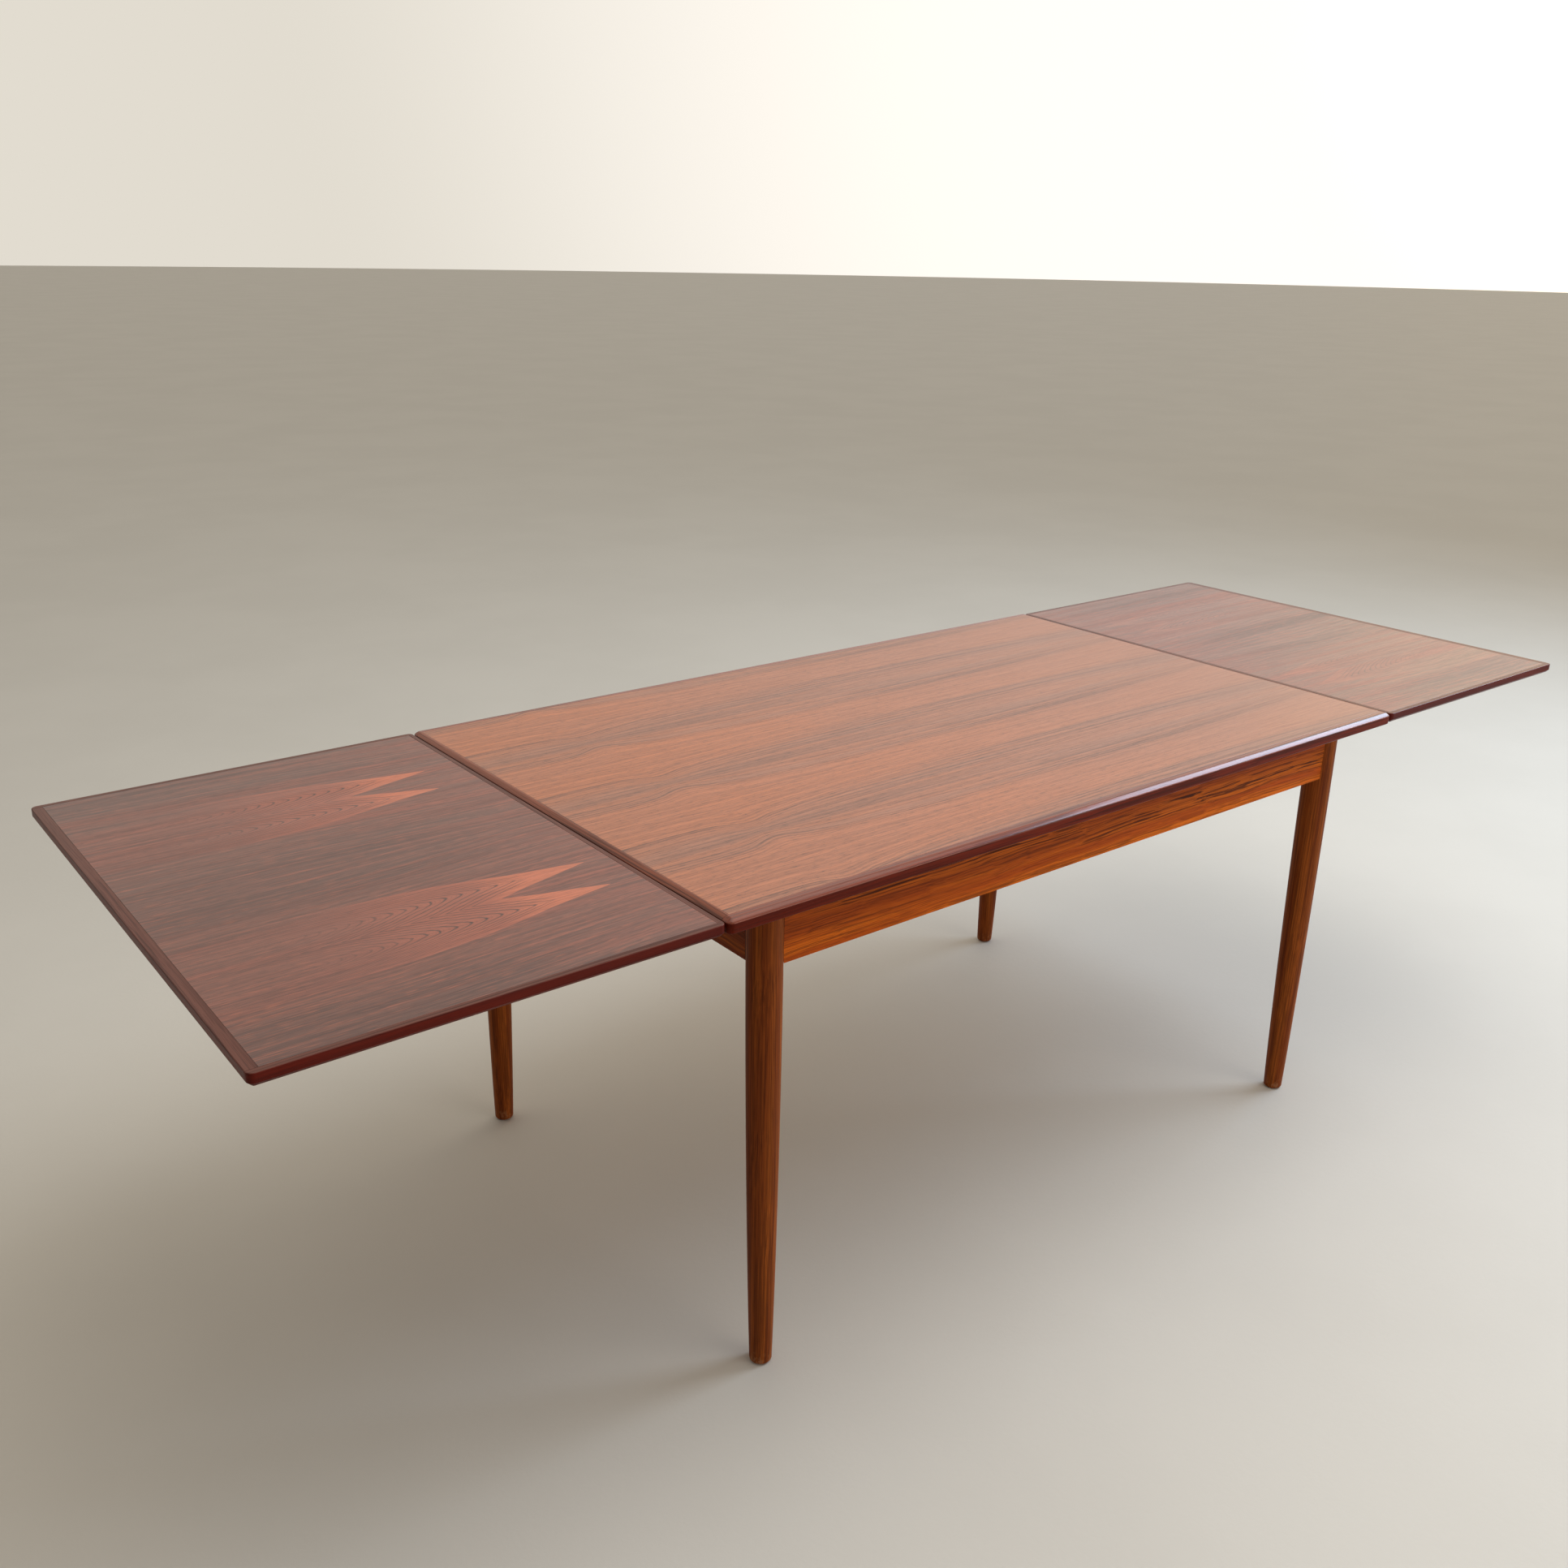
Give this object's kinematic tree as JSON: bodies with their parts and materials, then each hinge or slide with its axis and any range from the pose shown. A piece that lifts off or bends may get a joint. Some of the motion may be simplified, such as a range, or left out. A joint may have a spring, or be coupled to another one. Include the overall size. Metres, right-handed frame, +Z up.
{
  "type": "draw-leaf dining table",
  "caption": "Wooden draw-leaf dining table with turned legs, a loose centre top that lifts on dowels and pull-out end leaves on tapered slides.",
  "frame": {"origin": "on the floor under the middle of the centre top", "axes": "+X along the table, +Y from front to back, +Z up"},
  "size_m": [2.57, 0.864, 0.735],
  "materials": {
    "top_veneer": "sun-faded straight-grained veneer, satin",
    "leaf_veneer": "dark figured veneer, satin",
    "dark_lipping": "solid dark edge, polished",
    "leg_wood": "solid turned wood, oiled",
    "apron_veneer": "orange-brown veneer, satin",
    "beech": "plain unfinished hardwood",
    "steel": "zinc-plated"
  },
  "bodies": {
    "frame": {"apron_back": "apron_veneer", "apron_front": "apron_veneer", "apron_left": "apron_veneer", "apron_right": "apron_veneer", "board_screw_back_left": "steel", "board_screw_back_right": "steel", "board_screw_front_left": "steel", "board_screw_front_right": "steel", "centre_board": "beech", "corner_block_back_left": "beech", "corner_block_back_right": "beech", "corner_block_front_left": "beech", "corner_block_front_right": "beech", "leg_back_left": "leg_wood", "leg_back_right": "leg_wood", "leg_front_left": "leg_wood", "leg_front_right": "leg_wood", "slide_guide_back": "beech", "slide_guide_front": "beech"},
    "centre_top": {"guide_dowel_back": "beech", "guide_dowel_front": "beech", "top_lipping_back": "dark_lipping", "top_lipping_front": "dark_lipping", "top_lipping_left": "dark_lipping", "top_lipping_right": "dark_lipping", "top_panel": "top_veneer"},
    "left_leaf": {"left_leaf_lipping_back": "dark_lipping", "left_leaf_lipping_front": "dark_lipping", "left_leaf_lipping_left": "dark_lipping", "left_leaf_lipping_right": "dark_lipping", "left_leaf_panel": "leaf_veneer", "left_leaf_screw_back_1": "steel", "left_leaf_screw_back_2": "steel", "left_leaf_screw_back_3": "steel", "left_leaf_screw_front_1": "steel", "left_leaf_screw_front_2": "steel", "left_leaf_screw_front_3": "steel", "left_leaf_slide_back": "beech", "left_leaf_slide_front": "beech", "left_leaf_stop_peg_back": "beech", "left_leaf_stop_peg_front": "beech"},
    "right_leaf": {"right_leaf_lipping_back": "dark_lipping", "right_leaf_lipping_front": "dark_lipping", "right_leaf_lipping_left": "dark_lipping", "right_leaf_lipping_right": "dark_lipping", "right_leaf_panel": "leaf_veneer", "right_leaf_screw_back_1": "steel", "right_leaf_screw_back_2": "steel", "right_leaf_screw_back_3": "steel", "right_leaf_screw_front_1": "steel", "right_leaf_screw_front_2": "steel", "right_leaf_screw_front_3": "steel", "right_leaf_slide_back": "beech", "right_leaf_slide_front": "beech", "right_leaf_stop_peg_back": "beech", "right_leaf_stop_peg_front": "beech"}
  },
  "joints": [
    {"name": "centre_top_lift", "type": "slide", "parent": "frame", "child": "centre_top", "axis": [0, 0, 1], "range_m": [0, 0.028]},
    {"name": "left_leaf_slide", "type": "slide", "parent": "frame", "child": "left_leaf", "axis": [-0.9995, 0, 0.0302], "range_m": [-0.0025, 0.008]},
    {"name": "right_leaf_slide", "type": "slide", "parent": "frame", "child": "right_leaf", "axis": [0.9995, 0, 0.0302], "range_m": [-0.0025, 0.008]}
  ]
}
